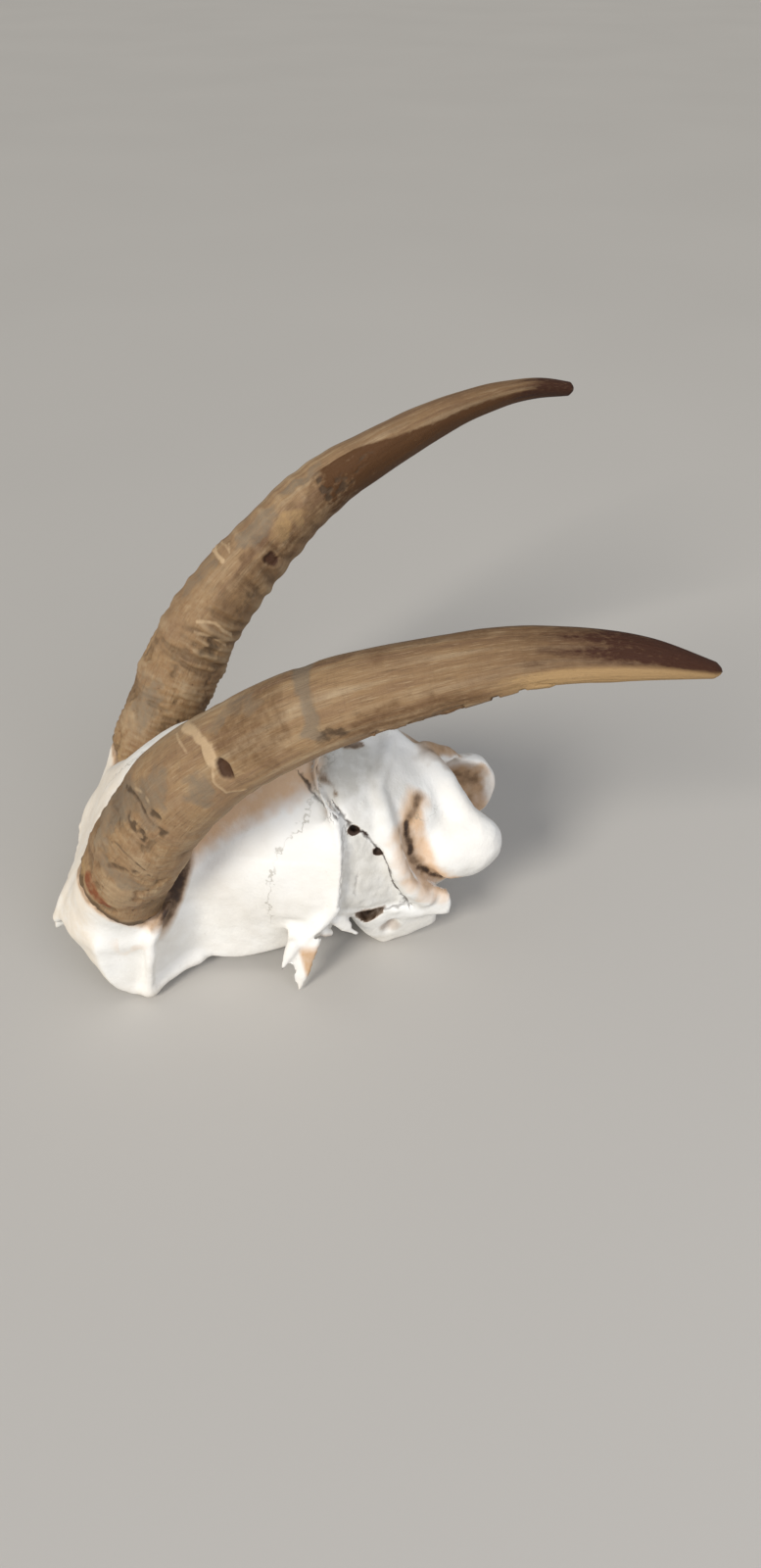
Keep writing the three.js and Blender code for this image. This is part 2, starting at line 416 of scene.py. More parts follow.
def pedicle(head):
    line = [(27.6, -75.6, 21, 15.2), (34.2, -69.3, 40.4, 15.2), (44, -57.9, 69.3, 14.6)]
    core = [(x, y, z, radius - CORE_INSET) for x, y, z, radius in line]
    head.join(Below(Rod(*line), SEAT_POINT, SEAT_NORMAL), 3)
    top = [p + CORE_RISE * n for p, n in zip(SEAT_POINT, SEAT_NORMAL)]
    head.join(Below(Rod(*core), top, SEAT_NORMAL), 0.6)
    head.cut(Rod((42, -50.5, 44, 1.2), (40, -47.5, 48.5, 2.4), (37.5, -44.5, 54, 2.8), (34, -41.5, 60, 2)), 2)


def eye_socket(head):
    head.cut(Ellipsoid((34, -91, 1), (15, 14, 20.5)), 2)
    head.cut(Rod(
        (36, -97.6, 14.4, 8.2), (41.8, -93, 15.6, 8.4), (47.6, -88.8, 18.6, 8.3), (50.6, -86.4, 20, 8.2)
    ), 1.5)
    head.cut(Ellipsoid((22, -78, 2), (16, 18, 15)), 3)
    head.cut(Ellipsoid((33, -78, -6), (10, 12, 19)), 3)
    for place, radii in (
        ((7, -97, 11), (5, 6, 7)), ((17, -95, 12), (4, 7, 5)), ((5, -88, 7), (4, 6, 6)),
        ((13, -88, 9), (3.4, 5, 6)),
    ):
        head.cut(Ellipsoid(place, radii), 1)


def back_of_head(head):
    head.join(Plate([
        (41.5, 2, 34), (39.5, 4, 52), (36, 4, 68), (22, 1, 81), (8, 0, 86), (0, 22.5, 79.5), (17, 21, 75),
        (32, 16.5, 55), (30, 27, 30), (27, 14, 19), (12, 39, 63), (6, 40, 66), (20, 42, 50), (17, 46, 33),
        (12, 46, 24), (10, 30, 12), (14, -6, 10),
    ], 4, mirrored=True), 4)
    bar = Rod(
        (22, 17, 71, 2), (28.2, 20, 60, 3.4), (30, 22, 51, 3.6), (30.3, 24.4, 43, 3.6), (29.2, 28, 35, 3.3),
        (27, 33.5, 28, 2.9),
    )
    head.join(bar, 3)
    head.join(Rod((0, 21, 79, 2.6), (10, 20.5, 77, 2), (19, 17.5, 74, 1.6)), 4)
    head.join(Rod((0, 22, 79, 2), (0, 29, 73.5, 1.5), (0, 37, 67, 1.5)), 3)
    head.cut(Ellipsoid((10.5, 32.5, 74.5), (7.5, 7, 5), pitch=-38), 2.5)


def nuchal_crest(head):
    upper = Rod(
        (9, -1, 86, 1.2), (17, -2, 83, 1.3), (22, -3.4, 79.4, 1.1), (26.4, -2.4, 75.2, 1.0),
        (30, 0.2, 71.4, 0.9), (34.2, 3.4, 68.2, 1.3),
    )
    head.join(upper, 1.2)
    head.join(Plate([
        (34.5, -17, 62), (35.6, -19, 46), (35.2, -18, 32), (37.5, 3.4, 62), (40, 4.4, 54), (40.8, 4.4, 46),
        (41.2, 2.6, 37), (40.4, -1, 29), (33, 2.4, 68), (28, -14, 62), (28, -14, 32), (30, 3, 48),
    ], 2.4), 5)
    lower = Rod(
        (33, 2.8, 68.6, 1.2), (37.2, 4.6, 60, 1.2), (39.6, 4.6, 48, 1.3), (40.4, 2.6, 36, 1.5),
        (39.4, -2, 28, 1.8)
    )
    head.join(lower, 1.5)
    head.cut(Rod((21, -6.8, 81, 0.5), (25, -5.2, 77, 0.8), (29, -1.9, 72.4, 0.9), (32, 1.4, 69, 0.5)), 0.4)
    head.cut(Rod((21, 0.4, 82, 0.8), (23.4, 0.6, 79.6, 1.1), (25.6, 1.0, 78, 0.5)), 0.4)
    head.cut(Rod((27.6, 1.4, 75.8, 0.9), (29.8, 3, 74, 1.2), (31.2, 3.6, 72.2, 0.5)), 0.4)


def cheek_root(head):
    head.join(Plate([
        (40.5, -1, 33), (43, -3, 27), (38, -16, 20), (42, -13, 17), (31, 0, 22), (31, -12, 30),
    ], 1.6), 2.5)
    head.join(Plate([
        (42, -2.6, 25), (40, -2, 21), (43.8, -6, 13), (42.6, -6, 12), (44.6, -10.6, 0.6), (43.4, -10, 0.2),
        (44.4, -12.6, 1.6), (43, -14, 14), (41.5, -13, 20),
    ], 0.5), 1.2)
    head.join(Rod((41, -12, 20, 2.4), (43.6, -16.2, 11.6, 0.8)), 1)
    head.cut(Ellipsoid((37.4, -5, 14), (4.4, 4.5, 9), pitch=12), 1.5)


EAR_OPENING = [
    (37, 9.4, 27.6), (37, 19.8, 27), (37, 19, 24.4), (37, 14.6, 20.8), (37, 11.8, 19.2), (37, 9.4, 22.5),
    (20, 11, 25), (20, 18, 25), (20, 14, 18),
]


def ear_region(head):
    head.join(Ellipsoid((14.5, 20, 9.8), (8, 13, 8.4), pitch=-8), 2)
    head.join(Plate([
        (20.5, 12, 6), (22, 19, 0.4), (23.4, 28, 7), (20.5, 38, 9), (12, 38, 10), (22, 38, 16),
        (28.6, 28, 22), (31.5, 20, 28), (33, 9, 29), (32, 7, 22), (28.5, 10, 15), (12, 14, 12),
        (12, 22, 1.5),
    ], 1.6), 2)
    head.cut(Plate(EAR_OPENING, 0.5), 0.5)
    head.cut(Ellipsoid((27, 21.5, 13), (3.2, 2.4, 5.5), pitch=-14), 1.5)
    head.cut(Rod((28.5, 21, 21.8, 0.4), (28, 28, 22.6, 0.4)), 0.6)
    head.join(Rod((36, -4, 25, 2.4), (35.2, -1.4, 20.2, 1.8), (34.4, 0.4, 19, 1.2)), 1)
    head.join(Rod((36, 1.2, 27.5, 2), (35, 5, 22, 1.6), (33.6, 9.4, 17.8, 0.9)), 1)
    head.join(Rod((35, 4, 27, 1.8), (34.2, 7.4, 22, 1)), 0.8)


def neck_joint(head):
    head.join(Plate([
        (29, 26, 36), (24, 34, 37), (20, 28, 22), (27, 22, 20), (26, 43.4, 24.5), (24.5, 42.6, 28),
        (25.6, 43.4, 18), (22.5, 40.5, 31), (22, 38, 17.5), (24, 43, 18),
    ], 1.4), 3)
    head.join(Rod((3, 35, 69, 3.5), (8, 41, 63, 4), (11.5, 45, 56, 4.5), (13, 49, 50, 5)), 4)
    head.join(Ellipsoid((15.8, 47.5, 42.3), (8.6, 13.4, 12.2), pitch=32), 3)
    head.join(Ellipsoid((17.5, 40, 41.5), (8, 10, 11), pitch=20), 3)
    fossa = Rod(
        (15.5, 33.5, 66.8, 0.5), (20.5, 30.6, 63.6, 1.0), (25, 27.8, 60.6, 1.9), (27.4, 26.9, 57.4, 2.5),
        (27.6, 27.6, 52, 2.8), (27.8, 29.4, 46, 2.8), (26.8, 32.4, 40, 2.5), (24, 37, 34, 2.3),
        (20, 42, 28, 2.4),
    )
    head.cut(fossa, 0.9)


def skull_base(head):
    head.cut(Ellipsoid((0, -32, -2), (20, 24, 12)), 4)
    head.join(Rod((0, -62, 12, 3.5), (0, -30, 12, 3.2), (0, 4, 13, 5)), 5)
    for start, end in (((9, -6, 2), (8, -4, 16)), ((10, 6, 2), (9, 7, 18)), ((11, 44, 22), (11, 38, 28))):
        head.cut(Rod((*start, 1.8), (*end, 1.5)), 0.8)


def canal(head):
    """The blind canal of the spinal cord."""
    head.cut(Ellipsoid((0, 48, 47), (10, 40, 13), pitch=-6), 1.5)


def right_side_differences(head):
    """The right joint with the neck stands a little higher than the left, and its inner wall is worn thin."""
    head.join(Ellipsoid((-14, 50.5, 48.5), (7.5, 9.6, 10.4), pitch=32), 3)
    canal(head)
    head.cut(Ellipsoid((-6, 50, 48.5), (7.5, 24, 14), pitch=-6), 1.2)


# The grid's span in X (the left half), Y and Z, and how far the bone ends over the floor.
GRID_SPANS = ((0, 54), (-102, 64), (-2, 91))
FLOOR_GAP = 0.02


def cranium_field(step):
    half = BoneField([np.arange(low, high, step, dtype=np.float32) for low, high in GRID_SPANS])
    for stage in (
        brain_case, frontal_bone, postorbital_process, back_of_head, pedicle, skull_base, nuchal_crest,
        cheek_root, ear_region, neck_joint, canal, eye_socket,
    ):
        stage(half)
    head = half.mirrored()
    right_side_differences(head)
    for y, z, radius in SEAM_HOLES:
        for side in (-1, 1):
            head.cut(Rod((side * 37, y, z + 1, radius), (side * 30, y, z - 1, radius)), 0.4)
    head.values = np.maximum(head.values, -head.axes[2][None, None, :] + FLOOR_GAP)
    return head


# ------------------------------------------------------------------ the cranium's surface

# Lines on each side of the skull as (y, z), in millimetres.
CORONAL_SUTURE = [
    (3, 82), (-2, 76), (-5.1, 71), (-8, 66), (-12, 62.6), (-15.3, 58.3), (-17.6, 52.5), (-19, 44.5),
    (-19.8, 38), (-19.6, 28)
]
MASTOID_SEAM = [
    (3, 70.5), (5.6, 68.7), (9.4, 63.4), (13.1, 60.3), (16, 55.7), (18.7, 51.2), (20.6, 46.4), (21.3, 40.6),
    (22.9, 36.5), (26.4, 29.6), (28, 25),
]
# Cracks with how dark each one is.
CRACKS = [
    (1.0, MASTOID_SEAM),
    (0.9, [(-8, 78.4), (-6.3, 76.7), (-3.8, 73.5), (-0.1, 69.5)]),
    (0.45, [(5.3, 64.5), (5.6, 59), (5.2, 52), (4.4, 46.5), (3.8, 38)]),
    (0.35, [(10.4, 44.5), (9.4, 41), (9.6, 38.6)]),
    (0.6, [(19, 26), (24, 25.6), (28.5, 26)]),
]
NECK_JOINT_SEAM = [(30.5, 58.8), (33.5, 57.4), (37, 58.2)]
MASTOID_PLATE = [
    (6.4, 66.4), (9.6, 62.4), (13, 59.6), (16.2, 54.6), (18.5, 50.4), (20.2, 46), (21, 40.4), (22.6, 36),
    (24.4, 31), (24, 26.5), (12, 27.5), (4, 32), (5, 45), (6, 56),
]
STAIN_EDGE = [(-50, 54), (-43, 60.5), (-36, 66), (-28.5, 70.5), (-21, 74.5), (-12, 78), (-3, 81)]
FOSSA_LINE = [(33, 66), (29.6, 62), (26.4, 58.6), (27.4, 53), (28.2, 47), (31.6, 39.6), (36, 34.5), (40, 31)]
# Lines of soil blotches as (x, y, z), and the two small holes in the mastoid seam.
SOIL_LINES = [
    [(20.6, -2, 79.6), (22, -0.4, 78), (23.4, 0.9, 76.6), (26.6, 2.6, 75)],
    [(12.5, 6.5, 82), (9, 11, 81.2)],
]
SEAM_HOLES = [(9.3, 63.2, 1.3), (17.1, 53.2, 1.0)]
# Middles of stains, dust and a painted shadow as (x, y, z), and the neck canal's axis as (x, z).
NECK_STAIN = (-9, 40, 69)
JOINT_STAIN = (29, 35, 31)
EAR_DIMPLE_SHADOW = (27, 21.5, 13)
CREST_DUST = (18, 7, 79)
CANAL_AXIS = (-1, 47)
# A distance that no mark of a seam reaches.
NO_SEAM = 9.0
# How far round a point hollows are looked for, and the depths of the sunken plate and the cracks.
HOLLOW_REACH, PLATE_DEPTH, CRACK_DEPTH = 3.0, 1.0, 0.6


def point_normals(points, faces):
    """Unit normals of a four-sided mesh at its points."""
    corners = points[faces]
    across = np.cross(corners[:, 2] - corners[:, 0], corners[:, 3] - corners[:, 1])
    normals = np.zeros_like(points)
    for column in range(4):
        np.add.at(normals, faces[:, column], across)
    return normals / np.maximum(np.linalg.norm(normals, axis=1), 1e-9)[:, None]


def add_object(name, data):
    made = bpy.data.objects.new(name, data)
    bpy.context.scene.collection.objects.link(made)
    return made


def mesh_object(name, points, faces, marks, material):
    """A smooth-shaded object from points in millimetres, with named values at each point."""
    mesh = bpy.data.meshes.new(name)
    mesh.from_pydata((points * MM).tolist(), [], np.asarray(faces, dtype=object).tolist())
    for mark, values in marks.items():
        vector = np.ndim(values) == 2
        layer = mesh.attributes.new(mark, "FLOAT_VECTOR" if vector else "FLOAT", "POINT")
        flat = np.ascontiguousarray(values, np.float32).ravel()
        layer.data.foreach_set("vector" if vector else "value", flat)
    mesh.shade_smooth()
    mesh.validate()
    mesh.materials.append(material)
    return add_object(name, mesh)


class SkullMap:
    """Where points lie on the skull, which way they face, and the noise that its marks share."""

    def __init__(self, field):
        self.points, self.faces = field.surface()
        self.normals = point_normals(self.points, self.faces)
        self.across, self.along, self.up = self.points.T
        self.side = self.points[:, 1:]
        self.mirror = np.column_stack([np.abs(self.across), self.along, self.up])
        self.facing = self.normals[:, 0] * np.sign(self.across)
        self.outer = ramp(np.abs(self.across), 13, 17) * ramp(self.facing, -0.1, 0.15)
        self.hollow = field.hollowness(self.points, HOLLOW_REACH)
        self.patchy = noise(self.points, 3.5, 2.0, 2)
        self.stray = np.column_stack([noise(self.points, 2.6, 5.0), noise(self.points, 2.6, 9.0)])
        self.plate = ramp(inside_outline(self.side, MASTOID_PLATE), -0.8, 1.0) * self.outer

    def line(self, trace, width, wander=0.8):
        """1 on a line over the side of the skull, 0 at its width."""
        return ramp(trace_distance(self.side + wander * self.stray, trace), width, 0.15 * width) * self.outer

    def near(self, place, far, close, patchiness=0, mirrored=True):
        """1 close to a place, on both sides or on one, and 0 far from it."""
        away = (self.mirror if mirrored else self.points) - place
        return ramp(np.linalg.norm(away, axis=1) + patchiness * self.patchy, far, close)


def seam_marks(skull):
    """Distances across the sutures and cracks, and how dark the nearest crack is."""
    across, along, up, side = skull.across, skull.along, skull.up, skull.side
    cleft, close = np.full(len(side), NO_SEAM), np.zeros(len(side))
    for darkness, trace in CRACKS:
        gap = trace_distance(side + 0.3 * skull.stray, trace, signed=True)
        nearer = (np.abs(gap) < np.abs(cleft)) & (skull.outer > 0.2)
        cleft = np.where(nearer, gap, cleft)
        close = np.where(nearer, darkness * ramp(np.abs(gap), 2.2, 1.2), close)
    coronal = trace_distance(side, CORONAL_SUTURE, signed=True)
    midline = np.where((up > 55) & (np.abs(across) < 5) & (along < 22), across, NO_SEAM)
    suture = np.where((along > -45) & (up > 24) & (np.abs(across) > 5), coronal, midline)
    joint = trace_distance(side, NECK_JOINT_SEAM, signed=True)
    suture = np.where((np.abs(joint) < 4) & (np.abs(across) > 12), joint, suture)
    return {"suture": suture, "cleft": cleft, "close": close}


def bone_relief(own, skull, seams):
    """Height of weathering, breakage, the sunken plate and the cracks."""
    points, along, up = skull.points, skull.along, skull.up
    broken = ramp(along, -86, -92) * ramp(up, 24, 19)
    lift = own.rough_height / MM * noise(points, 5.0, 0, 3) + 0.4 * noise(points, 13.0, 3.0)
    lift += 0.3 * noise(points, 2.5, 8.0, 2) * np.maximum(0.8 * skull.plate, broken)
    lift += 0.35 * noise(points, 7.0, 4.0, 2) * ramp(along, 6, 12) * ramp(up, 30, 40)
    lift -= PLATE_DEPTH * skull.plate + CRACK_DEPTH * seams["close"] * ramp(np.abs(seams["cleft"]), 1.1, 0.2)
    return lift + 0.6 * broken * noise(points, 3.0, 1.0, 2)


def dirt_and_shade_marks(skull):
    """How much soil, stain, dust and old fat each point holds, and where shade and shadow are painted: in
    hollows, the neck canal, the ear's dimple, on the prongs' inner faces and behind the horns.
    """
    across, along, up, mirror, outer = skull.across, skull.along, skull.up, skull.mirror, skull.outer
    hollow, patchy, line, near, normals = skull.hollow, skull.patchy, skull.line, skull.near, skull.normals
    in_ear = Plate(EAR_OPENING, 0.5).distance(*mirror.T)
    slope = (np.abs(across) - 33.5) / 3.5
    holes = np.min([np.hypot(along - y, up - z - slope) - radius for y, z, radius in SEAM_HOLES], axis=0)
    spots = [ramp(trace_distance(mirror, trace) + 1.4 * patchy, 2.0, 0.9) for trace in SOIL_LINES]
    slits = ramp(hollow, 0.5, 1.0) * ramp(along, -11, -5) * ramp(up, 58, 66) * ramp(along, 12, 6)

    # A painted shadow, with stain, in the strip behind the horn's root, and its rim.
    under_horn = trace_distance(mirror, [station[:3] for station in HORN_LINE[:4]]) - HORN_LINE[1][3] / 2
    over_seat = (mirror - SEAT_POINT) @ SEAT_NORMAL
    shadow_strip = ramp(under_horn, 6.0, 2.5) * ramp(along, -60, -53) * ramp(over_seat, -16, -6)
    near_rim = ramp(np.abs(under_horn), 4, 2) * ramp(over_seat, -4.5, -0.5)

    # Painted shade on the wall and the blind end of the canal behind the neck opening; the wall also gets a
    # tan stain.
    canal_x, canal_z = across - CANAL_AXIS[0], up - CANAL_AXIS[1]
    inward = -(normals[:, 0] * canal_x + normals[:, 2] * canal_z) / np.hypot(canal_x, canal_z).clip(1)
    canal_shade_and_stain = ramp(inward, -0.1, 0.25) * ramp(along, 26, 34) * ramp(np.abs(canal_x), 17, 15)
    canal_shade_and_stain *= 0.2 + 0.8 * ramp(up + 2 * patchy, 59, 52) * ramp(along + 2 * patchy, 59.5, 54)
    canal_end_shade = ramp(np.hypot(across / 12, canal_z / 15), 1.1, 0.9)
    canal_end_shade *= ramp(along, 34, 27) * ramp(along, -15, 0)

    # Painted shade on the inner face of each cheek prong, in soil and tan colours.
    prong_inner_shade = ramp(along + 0.2 * (up - 10), -9.6, -7.6) * ramp(np.abs(across), 34, 38)
    prong_inner_shade *= ramp(up, 22, 17) * ramp(up, 2, 6) * ramp(along, 4, 0)
    soil_and_shade = np.maximum.reduce([
        shadow_strip, 0.75 * np.max(spots, axis=0), 0.9 * slits * outer, (0.62 + 0.25 * patchy) * canal_shade_and_stain,
        0.86 * ramp(np.abs(in_ear), 1.0, 0.5) * ramp(skull.facing, 0.98, 0.9),
        1.3 * ramp(holes, 0.7, 0.2) * ramp(np.abs(across), 25, 27),
        (0.74 + 0.15 * patchy) * line(FOSSA_LINE, 3.4, 1.2), line(FOSSA_LINE[2:5], 2.6),
        line(FOSSA_LINE[5:], 2.2),
        # Painted shade deep in hollows, broken into patches; then the painted shade of the canal's end and
        # the prongs' inner faces.
        0.6 * ramp(hollow, 0.7, 1.6) * ramp(patchy, -0.2, 0.6), 0.95 * canal_end_shade, 0.35 * prong_inner_shade,
        0.62 * ramp(over_seat + 1.3 * patchy, -2.8, -0.8) * ramp(under_horn, 5, 3),
        0.6 * near(NECK_STAIN, 18, 9, 3, mirrored=False) * ramp(normals[:, 2], 0.0, 0.5),
        # A painted shadow in the small dimple under the ear.
        0.5 * near(EAR_DIMPLE_SHADOW, 5, 3),
    ])
    stain = trace_distance(skull.side + 1.2 * skull.stray, STAIN_EDGE)
    behind_fossa = trace_distance(skull.side, [(y + 3.5, z) for y, z in FOSSA_LINE[2:]])
    tan = np.maximum.reduce([
        ramp(stain, 10, 1.5) * ramp(skull.facing, 0.1, 0.4) * ramp(along, 3, -6), 0.8 * shadow_strip,
        0.9 * ramp(behind_fossa + patchy, 4.5, 1) * outer, 0.8 * near_rim, 0.8 * line(FOSSA_LINE, 8, 1.5),
        near(NECK_STAIN, 17, 7, mirrored=False) * ramp(normals[:, 2], 0.1, 0.6), canal_shade_and_stain, prong_inner_shade,
        0.35 * ramp(np.hypot(along + 66, up - 28), 9, 2) * outer * ramp(patchy, -0.2, 0.5),
        0.5 * near(JOINT_STAIN, 6, 2, 2),
    ])
    dust_and_shade = np.maximum.reduce([
        # Grey dust on the sunken plate and the crest, painted shade on bone that faces down, and grey over
        # the upper back of the head.
        0.7 * skull.plate, near(CREST_DUST, 15, 7, 2), 0.4 * ramp(normals[:, 2], 0.3, -0.4),
        0.45 * ramp(along, 4, 10) * ramp(up, 45, 70) * outer,
    ])
    # Cream on the front of the forehead is partly painted shade; bone within 10 mm of the floor turns
    # creamier too.
    cream_and_shade = np.maximum(ramp(normals[:, 1], -0.2, -0.8) * ramp(along, -60, -75), 0.6 * ramp(up, 10, 0))
    return {"hollow": hollow, "soil_and_shade": soil_and_shade, "tan": tan, "dust_and_shade": dust_and_shade, "cream_and_shade": cream_and_shade}


def build_cranium(own):
    skull = SkullMap(cranium_field(own.grid_step / MM))
    seams = seam_marks(skull)
    points = skull.points + skull.normals * bone_relief(own, skull, seams)[:, None]
    points[:, 2] = np.maximum(points[:, 2], 0.0)
    marks = {**seams, **dirt_and_shade_marks(skull)}
    return mesh_object("bleached_cranium", points, skull.faces, marks, bleached_bone(own))


# ------------------------------------------------------------------ horn sheaths

# The left horn's centre line with its wide diameter and the ratio of narrow to wide.
HORN_LINE = [
    (27.6, -75.6, 21.0, 33.0, 1.00),
    (34.2, -69.3, 40.4, 31.2, 0.98),
    (44.0, -57.9, 69.3, 32.0, 0.88),
    (52.6, -43.2, 95.2, 30.4, 0.87),
    (61.9, -24.2, 116.4, 26.6, 0.86),
    (72.0, -1.2, 136.0, 24.0, 0.81),
    (80.7, 27.5, 150.9, 20.2, 0.73),
    (88.3, 55.3, 161.2, 14.8, 0.65),
    (94.8, 78.5, 163.9, 10.6, 0.62),
    (98.0, 95.6, 162.2, 3.4, 0.70),
]
# The right sheath's tip is worn blunt.
BLUNT_TIP = (97.4, 91.5, 162.6, 5.4, 0.8)
HORN_TILT = math.radians(53)
TIP_ROUNDING = 1.8
# Spacings of the growth rings, the fine rings over them and the rough ones on the inner curve.
RING_SPACING, FINE_SPACING, ROUGH_SPACING = 8.2, 2.7, 4.6
# The sheath's inner and outer curve, in degrees round it.
INNER_CURVE, OUTER_CURVE = 65, 330
# The radius that the skin's texture is wrapped round.
GRAIN_RADIUS = 14
# The rim's lip: its thickness, and how far up and how deep the hollow under it goes.
LIP, HOLLOW_RISE, HOLLOW_DEPTH = 1.5, 6, 2.2
# How far each mark stands out of the skin.
MARK_HEIGHTS = {"scar": 0.35, "pit": -1.5, "crack": -0.5, "greyed": -0.3}
# The keel that runs along each sheath, as distances and angles; below it the right sheath gets painted shade
# and the left straw keratin; the left is 1 and the right -1.
KEEL = {
    1: ((180, 212, 252), (226, 228, 244)),
    -1: ((20, 70, 100, 125, 140, 150, 162, 177, 195, 250), (70, 66, 62, 50, 20, -22, -14, 10, 32, 34)),
}


class HornLine:
    """A smooth line through the horn's stations, measured along its length."""

    def __init__(self, stations):
        self.knots = np.array(stations, float)
        steps = np.linalg.norm(np.diff(self.knots[:, :3], axis=0), axis=1)
        self.at = np.concatenate([[0], np.cumsum(steps)])
        self.slopes = np.gradient(self.knots, self.at, axis=0)
        self.length = self.at[-1]

    def value(self, along):
        """Place, wide diameter and ratio at distances along the line."""
        along = np.clip(along, 0, self.length)
        low = np.clip(np.searchsorted(self.at, along, side="right") - 1, 0, len(self.at) - 2)
        span = (self.at[low + 1] - self.at[low])[:, None]
        t = (along - self.at[low])[:, None] / span
        a, b = self.knots[low], self.knots[low + 1]
        m, n = self.slopes[low] * span, self.slopes[low + 1] * span
        return (
            (2 * t**3 - 3 * t**2 + 1) * a + (t**3 - 2 * t**2 + t) * m
            + (3 * t**2 - 2 * t**3) * b + (t**3 - t**2) * n
        )

    def directions(self, along):
        """The wide and narrow ways across the horn."""
        ahead = self.value(along + 0.5)[:, :3] - self.value(along - 0.5)[:, :3]
        ahead /= np.linalg.norm(ahead, axis=1)[:, None]
        outward = np.array([1.0, 0, 0]) - ahead * ahead[:, :1]
        outward /= np.linalg.norm(outward, axis=1)[:, None]
        upward = np.cross(ahead, outward)
        upward *= np.sign(upward[:, 2:])
        wide = upward * math.cos(HORN_TILT) - outward * math.sin(HORN_TILT)
        return wide, np.cross(wide, ahead)


def horn_skin(line, along, angle, swell):
    """Points on the left horn's skin, swell millimetres outside its smooth section."""
    value = line.value(along)
    wide, narrow = line.directions(along)
    tip = np.sqrt(np.clip((line.length - along) / TIP_ROUNDING, 0, 1))
    radius = value[:, 3] / 2 * tip + swell
    across = wide * (radius * np.cos(angle))[:, None]
    across += narrow * (radius * value[:, 4] * np.sin(angle))[:, None]
    return value[:, :3] + across


class HornMap:
    """Where points lie on a sheath: along it and round it, in millimetres and degrees."""

    def __init__(self, line, along, angle):
        self.along = along
        self.angle = angle
        self.radius = line.value(along)[:, 3] / 2
        self.end = line.length
        round_place = np.column_stack([np.cos(angle), np.sin(angle)]) * GRAIN_RADIUS
        self.grain = np.column_stack([round_place, along])

    def sideways(self, degrees):
        """Distance round the sheath from the line at an angle."""
        turn = (self.angle - np.radians(degrees) + math.pi) % (2 * math.pi) - math.pi
        return turn * self.radius

    def patch(self, along, degrees, length, width, wander=1.0, seed=0.0):
        """1 in the middle of an oval patch, 0 outside it."""
        stray = wander * noise(self.grain, 4.0, seed, 2)
        stray_round = wander * noise(self.grain, 4.0, seed + 5, 2)
        off_middle = (self.along - along + stray) / (length / 2)
        off_side = (self.sideways(degrees) + stray_round) / (width / 2)
        return ramp(np.hypot(off_middle, off_side), 1.3, 0.6)

    def stroke(self, trace, width, wander=0.8, seed=0.0):
        """1 on a line through (along, degrees) points, 0 at half the width."""
        middle = trace[len(trace) // 2][1]
        flat = [(a, math.radians(d - middle) * float(np.interp(a, *self.radii))) for a, d in trace]
        stray = np.column_stack([noise(self.grain, 5.0, seed, 2), noise(self.grain, 5.0, seed + 5, 2)])
        here = np.column_stack([self.along, self.sideways(middle)]) + wander * stray
        return ramp(trace_distance(here, flat), 0.6 * width, 0.1 * width)

    def strongest(self, *rows):
        """The strongest of several marks, each a row of its strength and what stroke or patch takes."""
        return np.maximum.reduce([
            strength * (self.stroke if isinstance(row[0], list) else self.patch)(*row)
            for strength, *row in rows
        ])

    @property
    def radii(self):
        order = np.argsort(self.along)[::200]
        return self.along[order], self.radius[order]


def horn_relief(own, place, side):
    """Height of the skin's own texture over the smooth section, in millimetres."""
    along, grain = place.along, place.grain
    inner_curve = ramp(np.abs(place.sideways(INNER_CURVE)), 17, 4)
    outer_curve = ramp(np.abs(place.sideways(OUTER_CURVE)), 12, 3)
    base = ramp(along, 95, 65)
    wave = along + 1.8 * noise(grain, 14, 1.0, 2)
    uneven = 0.6 + 0.6 * noise(grain, 11, 8.0)
    rings = np.sin(wave * 2 * math.pi / RING_SPACING) * ramp(along, 55, 75) * ramp(along, 165, 125) * uneven
    rings *= 0.3 + inner_curve + (0.6 + 1.2 * outer_curve) * (side < 0)
    fine_rings = np.sin(wave * 2 * math.pi / FINE_SPACING) * base * uneven * (0.4 if side > 0 else 1.0)
    rough = np.sin((along + 0.8 * noise(grain, 9, 2.0)) * 2 * math.pi / ROUGH_SPACING)
    rough *= ramp(np.abs(along - 80), 16, 8)
    relief = own.ring_height / MM * (1.2 * rings + fine_rings + 2.6 * rough * inner_curve)
    fibres = noise(grain * np.array([1, 1, 0.045]), 1.2, 3.0, 2)
    relief += own.fibre_height / MM * fibres * ramp(along, 60, 110)
    bark = noise(grain * np.array([1, 1, 0.8]), 4.2, 6.0, 3)
    relief += (0.4 * bark - 0.6 * ramp(bark, -0.35, -0.75) + 1.1 * noise(grain, 9, 2.5)) * base
    relief += 0.35 * noise(grain, 10, 4.0) * ramp(along, place.end - 4, place.end - 40)
    return relief


